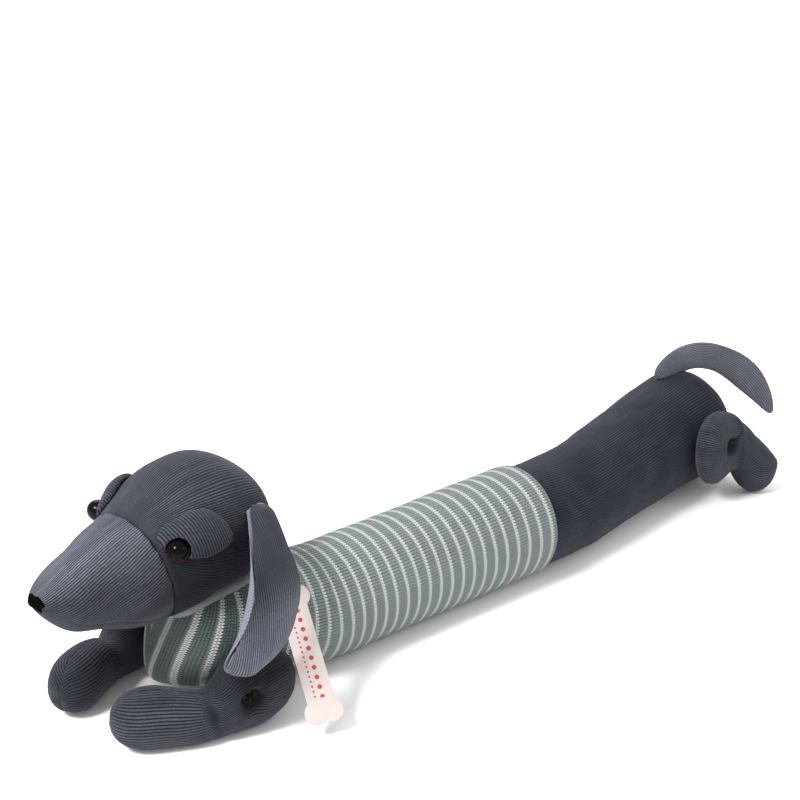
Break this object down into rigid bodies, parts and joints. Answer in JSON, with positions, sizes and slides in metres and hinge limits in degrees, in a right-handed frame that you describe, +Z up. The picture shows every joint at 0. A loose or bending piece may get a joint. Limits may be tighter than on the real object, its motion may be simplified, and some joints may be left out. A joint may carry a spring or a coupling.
{
  "type": "draught excluder",
  "caption": "Stuffed corduroy dog in a striped knitted jumper, long enough to lie along the foot of a door and stop the draught.",
  "frame": {"origin": "on the floor, under the middle of the toy's own box", "axes": "+X along the dog towards its tail, +Z up, the dog's left side towards -Y"},
  "size_m": [0.9524, 0.2616, 0.209],
  "materials": {
    "corduroy_body": "ribbed slate corduroy, matt",
    "corduroy_light": "the same corduroy where its ribs catch the light, matt",
    "knit": "grey-green stocking-stitch knit with narrow white stripes, matt",
    "plain_grey": "plain pale grey cloth, matt",
    "ear_cloth": "finely ribbed pale grey lining cloth, matt",
    "black_plastic": "polished black with a dark red-brown rim",
    "nose_felt": "black felt, matt",
    "button_plastic": "black, satin",
    "tag_card": "pale pinkish uncoated card",
    "tie_thread": "pale cotton thread"
  },
  "bodies": {
    "root": {"body": "corduroy_body", "jumper": "knit", "head_crown": "corduroy_body", "head_snout": "corduroy_light", "head_chin": "plain_grey", "brow_left": "corduroy_light", "brow_right": "corduroy_light", "eye_left": "black_plastic", "eye_right": "black_plastic", "nose": "nose_felt", "ear_outer_left": "corduroy_light", "ear_outer_right": "corduroy_light", "ear_lining_left": "ear_cloth", "ear_lining_right": "ear_cloth", "front_leg_left": "corduroy_light", "front_leg_right": "corduroy_light", "hind_leg_left": "corduroy_light", "hind_leg_right": "corduroy_light", "front_button_left": "button_plastic", "front_button_right": "button_plastic", "hind_button_left": "button_plastic", "hind_button_right": "button_plastic", "tail": "corduroy_light", "swing_tag": "tag_card", "tag_tie": "tie_thread"}
  },
  "joints": []
}
